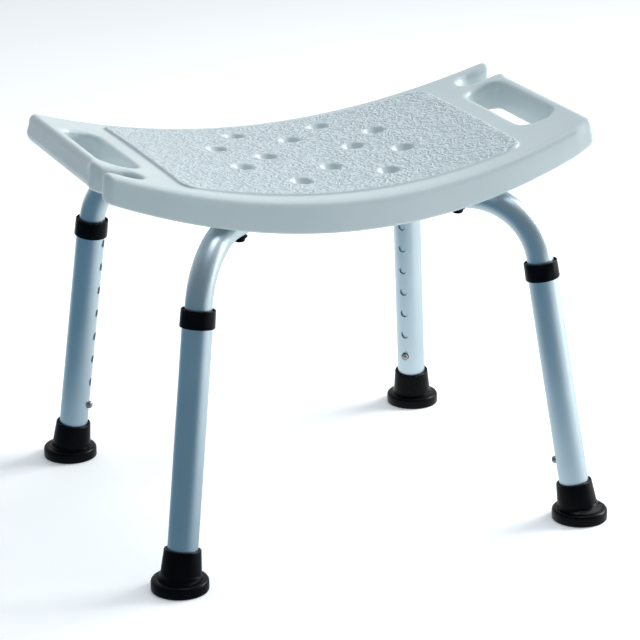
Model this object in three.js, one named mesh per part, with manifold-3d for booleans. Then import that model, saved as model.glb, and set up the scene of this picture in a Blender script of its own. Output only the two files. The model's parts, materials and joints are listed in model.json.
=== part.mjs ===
// Height-adjustable shower stool: a blow-moulded seat on four splayed telescopic legs.
// Millimetres, +Z up, origin on the floor under the middle of the seat.
// +X runs along the seat's long side and -Y is the front.
import * as THREE from "three";
import { mergeVertices } from "three/addons/utils/BufferGeometryUtils.js";
import Module from "manifold-3d";

// Seat: a saddle, lowest in the middle and rising to both ends.
const SEAT_HALF_LENGTH = 247;
const SEAT_HALF_WIDTH_END = 123.5;
const SEAT_SIDE_BOW = 22.1; // how much wider each long side is in the middle
const SEAT_RIM_Z = 309.9; // bottom edge of the skirt, in the middle
const SEAT_END_RISE = 48.7;
const SEAT_RIM_HEIGHT = 30.7; // skirt edge to the top of the rounded rim, in the middle
const SEAT_END_THINNING = 0.1; // share of that height lost at each end
const SEAT_CROWN = 3.6; // how far the rim surface bulges up across the middle
const SEAT_EDGE_RADIUS = 7;
const SEAT_END_LEAN = 9; // each end face leans inwards by this much
const SEAT_END_TUCK = 4; // and goes back in at its lower edge
const SEAT_SIDE_TUCK = 2;
const SEAT_TUCK_HEIGHT = 6;
const SEAT_CORNER_RADIUS = 11;
const SEAT_WALL = 3;
const SKIRT_WIDTH = 12;
const SKIRT_DEPTH = 8;

// Raised, textured sitting panel.
const PANEL_HALF_LENGTH = 172.7;
const PANEL_RIM_MARGIN = 19.3; // from the seat's long side to the panel
const PANEL_HEIGHT = 2;
const PANEL_CROWN = 4.2;
const PANEL_CORNER_RADIUS = 14;

// Hand hole in each end; the second end is the first turned half a turn.
const HAND_HOLE_X = [195, 230.5];
const HAND_HOLE_Y = [-71, 63];
const HAND_HOLE_RADIUS = 16;

// Slot for a hand shower's hose, in two opposite corners.
const SLOT_Y = 93;
const SLOT_HALF_WIDTH = 13;
const SLOT_INNER_X = 207;
const GRIP_END_Y = 70; // where the grip bar starts to curve into the slot
const RAIL_END_RADIUS = 10;

// Drain holes: a shallow dimple that narrows to a hole through both walls.
const DRAIN_CENTRES = [
  [83.1, 34.1], [83.1, -34.1], [45.5, 0], [44.8, 85.8], [44.8, -85.8], [0, 51.5],
];
const DIMPLE_RADIUS = 10;
const DIMPLE_DEPTH = 6;
const DRAIN_RADIUS = 4;
const VENT_RADIUS = 3; // moulding vent through the lower wall
const VENT_AT = [0, -12];

// Legs: they splay outwards, and the two in front stand a little wider than the two behind.
const FOOT_Y = 178.8;
const SPLAY_Y = 0.11; // sideways run for each millimetre of height
const FRONT_LEGS = { footX: 207.7, splayX: 0.1316 };
const BACK_LEGS = { footX: 194.5, splayX: 0.0856 };

const OUTER_TUBE_RADIUS = 14.3;
const INNER_TUBE_RADIUS = 12.7;
const TUBE_WALL = 1.3;
const TUBE_SIDES = 16;
const OUTER_TUBE_FROM = 7;
const OUTER_TUBE_TO = 257.5;
const INNER_TUBE_FROM = 40;
const LEVEL_TUBE_Z = 318.1; // centre of the level part under the seat
const BEND_RADIUS = 68;
const BEND_STEPS = 6;
const TUBE_END_FROM_CENTRE = 70; // the level part stops this far from the middle

const HOLE_COUNT = 8;
const HOLE_PITCH = 25.4;
const FIRST_HOLE = 61.1; // along the leg, from the floor
const HOLE_RADIUS = 4.1;

const COLLAR_RADIUS = 16.6;
const COLLAR_FROM = 245.2;
const COLLAR_TO = 262.5;
const COLLAR_EDGE = 1.6;
const COLLAR_LIP = 258; // the outer tube stops under this step

const FOOT_FLANGE_RADIUS = 27.15;
const FOOT_FLANGE_HEIGHT = 11.5;
const FOOT_NECK_RADIUS = [19.3, 17.3];
const FOOT_NECK = [5, 38];
const FOOT_FLOOR = 6.6; // bottom of the socket, along the leg

const BUTTON_RADIUS = 3.8;
const BUTTON_TOP = 18.3; // from the tube's axis to the top of the dome
const BUTTON_DOME = 2.6;
const BUTTON_FLANGE_RADIUS = 4.8;
const BUTTON_FLANGE = [8.7, 9.7];

const SPRING_WIDTH = 7;
const SPRING_THICKNESS = 0.7;
const SPRING_FRONT_X = 8.3; // face that carries the button
const SPRING_BACK_X = -10.4; // face that leans on the tube
const SPRING_ARMS = [52, 68, 82]; // bend, front tip and back tip along the leg

// Fasteners: two bolts hold each bent tube in a channel under the seat.
const BOLT_FROM_CENTRE = [148, 88];
const BOLT_RADIUS = 2.9;
const BOLT_TOP_Z = 340;
const BOLT_HEAD_RADIUS = 5.6;
const BOLT_HEAD_HEIGHT = 4.2;
const WASHER_RADIUS = 7.5;
const WASHER_HEIGHT = 1.2;
const BOLT_HOLE_RADIUS = 3.4;
const INSERT_RADIUS = 4.5;
const INSERT_Z = [332, 342];
const BOSS_RADIUS = 8;
const CHANNEL_RADIUS = 13.3;
const CHANNEL = [66, 192]; // from the middle of the stool
const GAP = 0.3; // between pieces that touch

const CORNERS = {
  front_left: [-1, -1],
  front_right: [1, -1],
  back_left: [-1, 1],
  back_right: [1, 1],
};

const LOOKS = {
  plastic: { color: 0xe9efef, roughness: 0.42, metalness: 0 },
  aluminium: { color: 0xb4bcc4, roughness: 0.3, metalness: 1 },
  rubber: { color: 0x08090b, roughness: 0.35, metalness: 0 },
  black_steel: { color: 0x15161a, roughness: 0.4, metalness: 0.6 },
  steel: { color: 0xc9ccd0, roughness: 0.2, metalness: 1 },
  brass: { color: 0xb08d4a, roughness: 0.35, metalness: 1 },
};

const wasm = await Module();
wasm.setup();
const stool = new THREE.Group();

// Booleans. A solid is a manifold; every shape it is made from is a closed three.js geometry.
function solid(geometry) {
  const bare = geometry.index ? geometry.toNonIndexed() : geometry.clone();
  bare.deleteAttribute("normal");
  bare.deleteAttribute("uv");
  const merged = mergeVertices(bare, 1e-4);
  return new wasm.Manifold(
    new wasm.Mesh({
      numProp: 3,
      vertProperties: merged.attributes.position.array,
      triVerts: new Uint32Array(merged.index.array),
    }),
  );
}

function cut(body, tools) {
  return tools.reduce((left, tool) => left.subtract(tool), body);
}

function geometryOf(body) {
  const { vertProperties, triVerts } = body.getMesh();
  const geometry = new THREE.BufferGeometry();
  geometry.setAttribute("position", new THREE.BufferAttribute(vertProperties, 3));
  geometry.setIndex(new THREE.BufferAttribute(triVerts, 1));
  return geometry;
}

function piece(name, body, look, parent = stool) {
  const geometry = body.isBufferGeometry ? body : geometryOf(body);
  const mesh = new THREE.Mesh(geometry, new THREE.MeshStandardMaterial(LOOKS[look]));
  mesh.name = name;
  parent.add(mesh);
}

// Simple shapes. A lathe profile is a list of [radius, height] and turns about Z.
function lathe(profile, segments) {
  const points = profile.map(([r, z]) => new THREE.Vector2(r, z));
  return new THREE.LatheGeometry(points, segments).rotateX(Math.PI / 2);
}

function rod(radius, from, to, segments) {
  return lathe([[0, from], [radius, from], [radius, to], [0, to]], segments);
}

function prism(shape, from, to, curveSegments = 4) {
  const options = { depth: to - from, bevelEnabled: false, curveSegments };
  return new THREE.ExtrudeGeometry(shape, options).translate(0, 0, from);
}

function roundedRectangle(x, y, radius) {
  const shape = new THREE.Shape();
  shape.absarc(x[1] - radius, y[0] + radius, radius, -Math.PI / 2, 0);
  shape.absarc(x[1] - radius, y[1] - radius, radius, 0, Math.PI / 2);
  shape.absarc(x[0] + radius, y[1] - radius, radius, Math.PI / 2, Math.PI);
  shape.absarc(x[0] + radius, y[0] + radius, radius, Math.PI, 1.5 * Math.PI);
  return shape;
}

// Seat surfaces.
function halfWidth(x) {
  return SEAT_HALF_WIDTH_END + SEAT_SIDE_BOW * (1 - (x / SEAT_HALF_LENGTH) ** 2);
}

function rise(x) {
  return SEAT_END_RISE * (x / SEAT_HALF_LENGTH) ** 2;
}

// Height of a point of the seat. It is given by its height over the skirt's edge in the
// middle section, and by the bulge of the surface it lies on; the bulge fades to every side.
function seatZ(x, y, height, crown) {
  const along = (x / SEAT_HALF_LENGTH) ** 2;
  const across = (y / halfWidth(x)) ** 2;
  const bulge = crown * (1 - along) * Math.max(0, 1 - across) * (height / SEAT_RIM_HEIGHT);
  return SEAT_RIM_Z + rise(x) + height * (1 - SEAT_END_THINNING * along) + bulge;
}

// A long side is a parabola, so one quadratic curve draws it exactly.
function longSide(shape, from, to, turn, inset) {
  const slope = (2 * SEAT_SIDE_BOW * from) / SEAT_HALF_LENGTH ** 2;
  const middle = (from + to) / 2;
  const y = (x) => -(halfWidth(x) - inset);
  shape.quadraticCurveTo(
    turn * middle,
    turn * (y(from) + slope * (middle - from)),
    turn * to,
    turn * y(to),
  );
}

// Half of the plan: front edge, plain corner, end face, slot and rail end. The other half is
// this one turned by half a turn. The inset moves every edge inwards by a wall's thickness.
function addHalfPlan(shape, turn, inset) {
  const end = SEAT_HALF_LENGTH - inset;
  const railEnd = end - RAIL_END_RADIUS + inset;
  const corner = end - SEAT_CORNER_RADIUS;
  const slotCentreX = SLOT_INNER_X + SLOT_HALF_WIDTH;
  const slotHalf = SLOT_HALF_WIDTH + inset;
  const cornerY = halfWidth(corner) - inset;
  const to = (x, y) => [turn * x, turn * y];
  longSide(shape, -railEnd, corner, turn, inset);
  shape.quadraticCurveTo(...to(end, -cornerY + 3), ...to(end, -cornerY + SEAT_CORNER_RADIUS));
  shape.lineTo(...to(end, GRIP_END_Y - inset));
  shape.quadraticCurveTo(...to(end, SLOT_Y - slotHalf), ...to(slotCentreX, SLOT_Y - slotHalf));
  const spin = turn > 0 ? 0 : Math.PI;
  const slotFrom = 1.5 * Math.PI + spin;
  shape.absarc(...to(slotCentreX, SLOT_Y), slotHalf, slotFrom, slotFrom - Math.PI, true);
  const railInner = SLOT_Y + slotHalf;
  const railOuter = halfWidth(railEnd) - inset;
  const railRadius = (railOuter - railInner) / 2;
  const railY = (railOuter + railInner) / 2;
  shape.lineTo(...to(railEnd, railInner));
  shape.absarc(...to(railEnd, railY), railRadius, -Math.PI / 2 + spin, Math.PI / 2 + spin);
}

function seatPlan(inset) {
  const shape = new THREE.Shape();
  const start = SEAT_HALF_LENGTH - RAIL_END_RADIUS;
  shape.moveTo(-start, -(halfWidth(start) - inset));
  addHalfPlan(shape, 1, inset);
  addHalfPlan(shape, -1, inset);
  return shape;
}

// Levels below and above the whole seat, for the tools that cut it.
const LOW = 280;
const HIGH = 440;
const TOP_STEPS = 8; // facets across the top of a section

// Section across the seat's middle, and the same section bent along the length: its width
// follows the bowed sides, its height follows the rise, its ends lean in and round off, and
// its lower edges tuck in.
function plank(inset, addedHeight, crown) {
  const side = halfWidth(0) - inset;
  const high = SEAT_RIM_HEIGHT - inset + addedHeight;
  const radius = SEAT_EDGE_RADIUS - inset;
  const section = new THREE.Shape();
  section.moveTo(SEAT_SIDE_TUCK - side, inset);
  section.lineTo(side - SEAT_SIDE_TUCK, inset);
  section.lineTo(side, SEAT_TUCK_HEIGHT);
  section.lineTo(side - 1, high - radius);
  section.quadraticCurveTo(side - 1, high, side - 1 - radius, high);
  for (let i = 1; i < TOP_STEPS; i++) section.lineTo(side * (1 - (2 * i) / TOP_STEPS), high);
  section.lineTo(radius + 1 - side, high);
  section.quadraticCurveTo(1 - side, high, 1 - side, high - radius);
  section.lineTo(-side, SEAT_TUCK_HEIGHT);
  const options = { depth: 2, steps: 16, curveSegments: 3, bevelEnabled: false };
  const geometry = new THREE.ExtrudeGeometry(section, options).translate(0, 0, -1);
  const position = geometry.attributes.position;
  const length = SEAT_HALF_LENGTH - inset;
  for (let i = 0; i < position.count; i++) {
    const along = Math.sin((position.getZ(i) * Math.PI) / 2) * length;
    const height = position.getY(i);
    const share = height / SEAT_RIM_HEIGHT;
    const past = Math.max(0, Math.abs(along) - (length - SEAT_EDGE_RADIUS)) / SEAT_EDGE_RADIUS;
    const drop = SEAT_EDGE_RADIUS * (1 - Math.sqrt(Math.max(0, 1 - past ** 2))) * share;
    const lean = height < SEAT_TUCK_HEIGHT ? SEAT_END_TUCK : SEAT_END_LEAN * share ** 2;
    const x = along * (1 - lean / SEAT_HALF_LENGTH);
    const y = (position.getX(i) * halfWidth(along)) / halfWidth(0);
    position.setXYZ(i, x, y, seatZ(along, y, height, crown) - drop);
  }
  return solid(geometry);
}

function panelPlan() {
  const margin = PANEL_RIM_MARGIN;
  const end = PANEL_HALF_LENGTH;
  const y = halfWidth(end) - margin - PANEL_CORNER_RADIUS;
  const shape = new THREE.Shape();
  const start = end - PANEL_CORNER_RADIUS;
  shape.moveTo(-start, -(halfWidth(start) - margin));
  for (const turn of [1, -1]) {
    longSide(shape, -start, start, turn, margin);
    shape.quadraticCurveTo(turn * end, -turn * (y + PANEL_CORNER_RADIUS), turn * end, -turn * y);
    shape.lineTo(turn * end, turn * y);
    shape.quadraticCurveTo(
      turn * end,
      turn * (y + PANEL_CORNER_RADIUS),
      turn * start,
      turn * (halfWidth(start) - margin),
    );
  }
  return shape;
}

// The outside of the seat before anything is cut from it.
function seatOutside() {
  const body = plank(0, 0, SEAT_CROWN).intersect(solid(prism(seatPlan(0), LOW, HIGH)));
  const raised = plank(0, PANEL_HEIGHT, PANEL_CROWN);
  return body.add(raised.intersect(solid(prism(panelPlan(), LOW, HIGH))));
}

// The hollow under the seat, inside the skirt, between the two hand holes.
function bellyRecess(depth, grow) {
  const reach = HAND_HOLE_X[0] - SKIRT_WIDTH + grow;
  const shape = new THREE.Shape();
  const margin = SKIRT_WIDTH - grow;
  shape.moveTo(-reach, -(halfWidth(reach) - margin));
  for (const turn of [1, -1]) {
    longSide(shape, -reach, reach, turn, margin);
    shape.lineTo(turn * reach, turn * (halfWidth(reach) - margin));
  }
  return solid(prism(shape, LOW, HIGH)).subtract(belowOf(depth));
}

// Everything above a surface that follows the seat's rise, at a depth above the skirt's edge.
function belowOf(depth) {
  const section = new THREE.Shape();
  const length = SEAT_HALF_LENGTH + 20;
  section.moveTo(-length, SEAT_RIM_Z + depth + rise(length));
  section.quadraticCurveTo(
    0,
    SEAT_RIM_Z + depth - rise(length),
    length,
    SEAT_RIM_Z + depth + rise(length),
  );
  section.lineTo(length, HIGH + 30);
  section.lineTo(-length, HIGH + 30);
  const options = { depth: 400, bevelEnabled: false, curveSegments: 16 };
  const above = new THREE.ExtrudeGeometry(section, options).translate(0, 0, -200);
  return solid(above.rotateX(Math.PI / 2));
}

// A leg's own frame has its origin where the leg's axis meets the floor, Z along the leg and
// X towards the middle of the stool. The axis meets the level run's line at the knee.
function legLayout([sx, sy]) {
  const { footX, splayX } = sy < 0 ? FRONT_LEGS : BACK_LEGS;
  const foot = new THREE.Vector3(sx * footX, sy * FOOT_Y, 0);
  const up = new THREE.Vector3(-sx * splayX, -sy * SPLAY_Y, 1);
  const knee = foot.clone().addScaledVector(up, LEVEL_TUBE_Z).setZ(0);
  const level = knee.clone().negate().normalize();
  up.normalize();
  const across = up.clone().cross(level).normalize();
  const inwards = across.clone().cross(up);
  const bendAngle = up.angleTo(level);
  const kneeToBend = BEND_RADIUS * Math.tan(bendAngle / 2);
  return {
    matrix: new THREE.Matrix4().makeBasis(inwards, across, up).setPosition(foot),
    heading: Math.atan2(knee.y, knee.x),
    bendAngle,
    bendFrom: LEVEL_TUBE_Z / up.z - kneeToBend,
    bendEndFromCentre: knee.length() - kneeToBend,
  };
}

const LEGS = Object.fromEntries(
  Object.entries(CORNERS).map(([where, corner]) => [where, legLayout(corner)]),
);

// Places something drawn along +X, from the middle outwards, over a leg's level run.
function towardsLeg(geometry, leg) {
  return geometry.rotateZ(leg.heading);
}

// The channel that a bent tube lies in: round above, open below.
function channels(radius, from, to) {
  const shape = new THREE.Shape();
  shape.moveTo(-radius, -30);
  shape.lineTo(radius, -30);
  shape.absarc(0, 0, radius, 0, Math.PI);
  const options = { depth: to - from, bevelEnabled: false, curveSegments: 6 };
  return Object.values(LEGS).map((leg) => {
    const geometry = new THREE.ExtrudeGeometry(shape, options);
    geometry.rotateX(Math.PI / 2).rotateZ(Math.PI / 2).translate(from, 0, LEVEL_TUBE_Z);
    return solid(towardsLeg(geometry, leg));
  });
}

function drainCentres() {
  return DRAIN_CENTRES.flatMap(([x, y]) => [[x, y], [-x, -y]]);
}

function drains(grow) {
  return drainCentres().map(([x, y]) => {
    const top = seatZ(x, y, SEAT_RIM_HEIGHT + PANEL_HEIGHT, PANEL_CROWN);
    const profile = [
      [0, LOW],
      [DRAIN_RADIUS + grow, LOW],
      [DRAIN_RADIUS + grow, top - DIMPLE_DEPTH - grow],
      [DIMPLE_RADIUS + grow, top],
      [DIMPLE_RADIUS + grow, top + 6],
      [0, top + 6],
    ];
    return solid(lathe(profile, grow ? 6 : 10).translate(x, y, 0));
  });
}

function handHoles(grow) {
  const x = [HAND_HOLE_X[0] - grow, HAND_HOLE_X[1] + grow];
  const y = [HAND_HOLE_Y[0] - grow, HAND_HOLE_Y[1] + grow];
  const hole = prism(roundedRectangle(x, y, HAND_HOLE_RADIUS + grow), LOW, HIGH);
  return [solid(hole), solid(hole.clone().rotateZ(Math.PI))];
}

// The grip bar outside each hand hole is pinched solid.
function gripBars() {
  const x = [HAND_HOLE_X[0], SEAT_HALF_LENGTH + 10];
  const y = [HAND_HOLE_Y[0] - SEAT_WALL, HAND_HOLE_Y[1] + SEAT_WALL];
  const bar = prism(roundedRectangle(x, y, 2), LOW, HIGH);
  return [solid(bar), solid(bar.clone().rotateZ(Math.PI))];
}

function atBolts(geometry) {
  return Object.values(LEGS).flatMap((leg) =>
    BOLT_FROM_CENTRE.map((r) => solid(towardsLeg(geometry.clone().translate(r, 0, 0), leg))),
  );
}

function seatShell() {
  const wall = SEAT_WALL;
  const inside = plank(wall, 0, SEAT_CROWN).intersect(solid(prism(seatPlan(wall), LOW, HIGH)));
  const cavity = cut(inside, [
    bellyRecess(SKIRT_DEPTH + wall, wall),
    ...channels(CHANNEL_RADIUS + wall, CHANNEL[0] - wall, CHANNEL[1] + wall),
    ...drains(wall),
    ...handHoles(wall),
    ...gripBars(),
    ...atBolts(rod(BOSS_RADIUS, LOW, INSERT_Z[1] + wall, 8)),
  ]);
  return cut(seatOutside(), [
    cavity,
    bellyRecess(SKIRT_DEPTH, 0),
    ...channels(CHANNEL_RADIUS, ...CHANNEL),
    ...drains(0),
    ...handHoles(0),
    ...atBolts(rod(INSERT_RADIUS + GAP, LOW, INSERT_Z[1] + GAP, 10)),
    solid(rod(VENT_RADIUS, LOW, SEAT_RIM_Z + SEAT_RIM_HEIGHT / 2, 10).translate(...VENT_AT, 0)),
  ]);
}

// Legs. Every piece of a leg is drawn in the leg's own frame.
// A tube's wall as a closed profile, with rings at the given places along it.
function tubeWall(radius, rings, segments) {
  const outside = rings.map((z) => [radius, z]);
  const inside = rings.map((z) => [radius - TUBE_WALL, z]).reverse();
  return lathe([...outside, ...inside, outside[0]], segments);
}

// A pin through one side of a tube, along the leg's +X.
function sidePin(at, radius) {
  return solid(rod(radius, 4, OUTER_TUBE_RADIUS + 4, 8).rotateY(Math.PI / 2).translate(0, 0, at));
}

function outerTube() {
  const holes = Array.from({ length: HOLE_COUNT }, (_, i) => FIRST_HOLE + i * HOLE_PITCH);
  const tube = tubeWall(OUTER_TUBE_RADIUS, [OUTER_TUBE_FROM, OUTER_TUBE_TO], TUBE_SIDES);
  return cut(solid(tube), holes.map((at) => sidePin(at, HOLE_RADIUS)));
}

// Bends a straight tube: an arc towards the middle, then a level run under the seat.
function bend(geometry, { bendFrom, bendAngle }) {
  const position = geometry.attributes.position;
  for (let i = 0; i < position.count; i++) {
    const past = Math.max(0, position.getZ(i) - bendFrom);
    const angle = Math.min(past / BEND_RADIUS, bendAngle);
    const straight = past - angle * BEND_RADIUS;
    const before = Math.min(position.getZ(i), bendFrom);
    const reach = BEND_RADIUS - position.getX(i);
    position.setXYZ(
      i,
      BEND_RADIUS - reach * Math.cos(angle) + straight * Math.sin(angle),
      position.getY(i),
      before + reach * Math.sin(angle) + straight * Math.cos(angle),
    );
  }
  return geometry;
}

function bentTube(leg) {
  const bendLength = BEND_RADIUS * leg.bendAngle;
  const rings = [INNER_TUBE_FROM];
  for (let i = 0; i <= BEND_STEPS; i++) rings.push(leg.bendFrom + (i / BEND_STEPS) * bendLength);
  rings.push(leg.bendFrom + bendLength + leg.bendEndFromCentre - TUBE_END_FROM_CENTRE);
  const boltHole = rod(BOLT_HOLE_RADIUS, LEVEL_TUBE_Z - 20, LEVEL_TUBE_Z + 20, 8);
  const intoLeg = leg.matrix.clone().invert();
  const holes = BOLT_FROM_CENTRE.map((r) => {
    const hole = towardsLeg(boltHole.clone().translate(r, 0, 0), leg);
    return solid(hole.applyMatrix4(intoLeg));
  });
  const tube = solid(bend(tubeWall(INNER_TUBE_RADIUS, rings, TUBE_SIDES), leg));
  return cut(tube, [...holes, sidePin(FIRST_HOLE, HOLE_RADIUS)]);
}

function collar() {
  const grip = OUTER_TUBE_RADIUS + GAP;
  const guide = INNER_TUBE_RADIUS + GAP;
  return lathe(
    [
      [grip, COLLAR_FROM],
      [COLLAR_RADIUS - COLLAR_EDGE / 2, COLLAR_FROM],
      [COLLAR_RADIUS, COLLAR_FROM + COLLAR_EDGE],
      [COLLAR_RADIUS, COLLAR_TO - COLLAR_EDGE],
      [COLLAR_RADIUS - COLLAR_EDGE, COLLAR_TO],
      [guide, COLLAR_TO],
      [guide, COLLAR_LIP],
      [grip, COLLAR_LIP],
      [grip, COLLAR_FROM],
    ],
    20,
  );
}

// The flange lies flat on the floor while the neck follows the splayed leg.
function foot(leg) {
  const flange = lathe(
    [
      [0, 0],
      [FOOT_FLANGE_RADIUS - 1, 0],
      [FOOT_FLANGE_RADIUS, 1],
      [FOOT_FLANGE_RADIUS, FOOT_FLANGE_HEIGHT - 4],
      [FOOT_FLANGE_RADIUS - 1.3, FOOT_FLANGE_HEIGHT - 1.3],
      [FOOT_FLANGE_RADIUS - 4, FOOT_FLANGE_HEIGHT],
      [0, FOOT_FLANGE_HEIGHT],
    ],
    20,
  ).applyMatrix4(new THREE.Matrix4().extractRotation(leg.matrix).invert());
  const [low, high] = FOOT_NECK;
  const neck = lathe(
    [
      [0, low],
      [FOOT_NECK_RADIUS[0], low],
      [FOOT_NECK_RADIUS[1], high - 1.5],
      [FOOT_NECK_RADIUS[1] - 1.2, high],
      [0, high],
    ],
    20,
  );
  const socket = rod(OUTER_TUBE_RADIUS + GAP, FOOT_FLOOR, high + 5, 20);
  return cut(solid(flange).add(solid(neck)), [solid(socket)]);
}

// Domed pin on a small flange, along the leg's +X.
function button() {
  const base = BUTTON_TOP - BUTTON_DOME;
  const dome = [1, 2, 3].map((i) => {
    const angle = (i * Math.PI) / 6;
    return [BUTTON_RADIUS * Math.cos(angle), base + BUTTON_DOME * Math.sin(angle)];
  });
  dome[2][0] = 0;
  const profile = [
    [0, BUTTON_FLANGE[0]],
    [BUTTON_FLANGE_RADIUS, BUTTON_FLANGE[0]],
    [BUTTON_FLANGE_RADIUS, BUTTON_FLANGE[1]],
    [BUTTON_RADIUS, BUTTON_FLANGE[1]],
    [BUTTON_RADIUS, base],
    ...dome,
  ];
  return lathe(profile, 10).rotateY(Math.PI / 2).translate(0, 0, FIRST_HOLE);
}

// Leaf spring: a strip folded into a U inside the tube, under the button.
function leafSpring() {
  const [fold, frontTip, backTip] = SPRING_ARMS;
  const outer = (SPRING_FRONT_X - SPRING_BACK_X) / 2;
  const middle = (SPRING_FRONT_X + SPRING_BACK_X) / 2;
  const inner = outer - SPRING_THICKNESS;
  const strip = new THREE.Shape();
  strip.moveTo(SPRING_FRONT_X - SPRING_THICKNESS, frontTip);
  strip.absarc(middle, fold, inner, 0, Math.PI, true);
  strip.lineTo(SPRING_BACK_X + SPRING_THICKNESS, backTip);
  strip.lineTo(SPRING_BACK_X, backTip);
  strip.absarc(middle, fold, outer, Math.PI, 0, false);
  strip.lineTo(SPRING_FRONT_X, frontTip);
  const options = { depth: SPRING_WIDTH, bevelEnabled: false, curveSegments: 4 };
  const geometry = new THREE.ExtrudeGeometry(strip, options);
  return geometry.rotateX(Math.PI / 2).translate(0, SPRING_WIDTH / 2, 0);
}

function bolt() {
  const seatZ = LEVEL_TUBE_Z - INNER_TUBE_RADIUS - WASHER_HEIGHT - 2 * GAP;
  const head = rod(BOLT_HEAD_RADIUS, seatZ - BOLT_HEAD_HEIGHT, seatZ, 6);
  const shank = rod(BOLT_RADIUS, seatZ - 1, BOLT_TOP_Z, 8);
  return geometryOf(solid(head).add(solid(shank)));
}

function ring(inner, outer, from, to, segments) {
  const profile = [[outer, from], [outer, to], [inner, to], [inner, from], [outer, from]];
  return lathe(profile, segments);
}

function washer() {
  const top = LEVEL_TUBE_Z - INNER_TUBE_RADIUS - GAP;
  return ring(BOLT_RADIUS + GAP, WASHER_RADIUS, top - WASHER_HEIGHT, top, 10);
}

function insert() {
  return ring(BOLT_RADIUS + GAP, INSERT_RADIUS, INSERT_Z[0], INSERT_Z[1], 8);
}

piece("seat_shell", seatShell(), "plastic");
for (const [where, leg] of Object.entries(LEGS)) {
  const group = new THREE.Group();
  group.applyMatrix4(leg.matrix);
  stool.add(group);
  piece(`upper_tube_${where}`, bentTube(leg), "aluminium", group);
  piece(`lower_tube_${where}`, outerTube(), "aluminium", group);
  piece(`collar_${where}`, collar(), "rubber", group);
  piece(`foot_${where}`, foot(leg), "rubber", group);
  piece(`snap_button_${where}`, button(), "steel", group);
  piece(`button_spring_${where}`, leafSpring(), "steel", group);
  BOLT_FROM_CENTRE.forEach((r, i) => {
    const at = (geometry) => towardsLeg(geometry.translate(r, 0, 0), leg);
    const which = ["outer", "inner"][i];
    piece(`bolt_${which}_${where}`, at(bolt()), "black_steel");
    piece(`washer_${which}_${where}`, at(washer()), "black_steel");
    piece(`insert_${which}_${where}`, at(insert()), "brass");
  });
}

export default stool;
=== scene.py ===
"""Looks of a height-adjustable shower stool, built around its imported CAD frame.

Metres, +Z up, origin on the floor under the middle of the seat; -Y is the front.
"""

import json
import math

import bmesh
import bpy
import numpy as np
from mathutils import Matrix, Vector
from mathutils.geometry import delaunay_2d_cdt


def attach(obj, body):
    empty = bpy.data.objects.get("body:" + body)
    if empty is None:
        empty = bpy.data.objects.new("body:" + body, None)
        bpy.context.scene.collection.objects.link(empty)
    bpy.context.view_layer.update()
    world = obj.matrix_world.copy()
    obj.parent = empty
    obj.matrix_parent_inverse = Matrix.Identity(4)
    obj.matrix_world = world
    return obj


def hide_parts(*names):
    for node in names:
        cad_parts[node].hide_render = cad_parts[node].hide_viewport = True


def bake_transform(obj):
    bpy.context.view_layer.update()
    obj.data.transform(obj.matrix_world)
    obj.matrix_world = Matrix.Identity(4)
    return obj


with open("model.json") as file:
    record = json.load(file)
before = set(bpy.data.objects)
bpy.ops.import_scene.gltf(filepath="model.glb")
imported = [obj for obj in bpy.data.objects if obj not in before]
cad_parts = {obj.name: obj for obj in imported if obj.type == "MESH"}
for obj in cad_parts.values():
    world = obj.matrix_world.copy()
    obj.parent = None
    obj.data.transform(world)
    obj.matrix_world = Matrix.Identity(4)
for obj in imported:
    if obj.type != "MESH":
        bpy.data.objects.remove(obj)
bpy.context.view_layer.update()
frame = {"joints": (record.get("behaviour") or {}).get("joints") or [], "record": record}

MM = 0.001

# Seat: a saddle with rounded edges. Heights are above the skirt's lower edge.
SEAT_HALF_LENGTH = 247 * MM
SEAT_HALF_WIDTH_END = 123.5 * MM
SEAT_SIDE_BOW = 22.1 * MM
SEAT_RIM_Z = 309.9 * MM
SEAT_END_RISE = 48.7 * MM
SEAT_RIM_HEIGHT = 30.7 * MM
SEAT_END_THINNING = 0.1
SEAT_CROWN = 3.6 * MM
SEAT_CORNER_RADIUS = 11 * MM
SEAT_CORNER_CLEAR = 24 * MM  # the long sides' own points stop this far short of the ends
EDGE_ROLL = (6.5 * MM, 7 * MM)  # width and height of the rounded upper edge
END_ROLL = (7.5 * MM, 12 * MM)
EDGE_TUCK = (2.5 * MM, 3 * MM)  # the same for the lower edge
END_TUCK = (4.5 * MM, 8 * MM)
EDGE_DRAFT = 1 * MM  # how far a wall leans in towards the top
END_DRAFT = 2.2 * MM
END_FROM_X = (222 * MM, 240 * MM)  # the sides' rounding changes to the ends' over this stretch
END_TO_Y = (58 * MM, 72 * MM)  # and back again by the grip's end

PANEL_HALF_LENGTH = 172.7 * MM
PANEL_RIM_MARGIN = 19.3 * MM
PANEL_CORNER_RADIUS = 14 * MM
PANEL_HEIGHT = 2 * MM
PANEL_CROWN = 4.2 * MM
PANEL_STEP_WIDTH = 2 * MM

HAND_HOLE_X = (195 * MM, 230.5 * MM)
HAND_HOLE_Y = (-71 * MM, 63 * MM)
HAND_HOLE_RADIUS = 16 * MM
HAND_HOLE_ROLL = (6 * MM, 5 * MM)
GRIP_ROLL = (3 * MM, 4 * MM)  # the hand hole's rounded edge on the grip's side
HAND_HOLE_TUCK = (2 * MM, 3 * MM)
HAND_HOLE_DRAFT = 0.8 * MM
GRIP_FROM_EDGE = 14 * MM  # from the hole's inner side to where the grip's rounding starts

SLOT_Y = (80 * MM, 106 * MM)
SLOT_INNER_X = 207 * MM
SLOT_RADIUS = 12.5 * MM
GRIP_END_RADIUS = 12 * MM
RAIL_TIP_X = 248.5 * MM
RAIL_TIP_RADIUS = 9.5 * MM
RAIL_TIP_SWELL = 3.5 * MM  # the tip is this much thicker than the rail, on the slot's side
SWELL_X = (212 * MM, 234 * MM)

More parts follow.
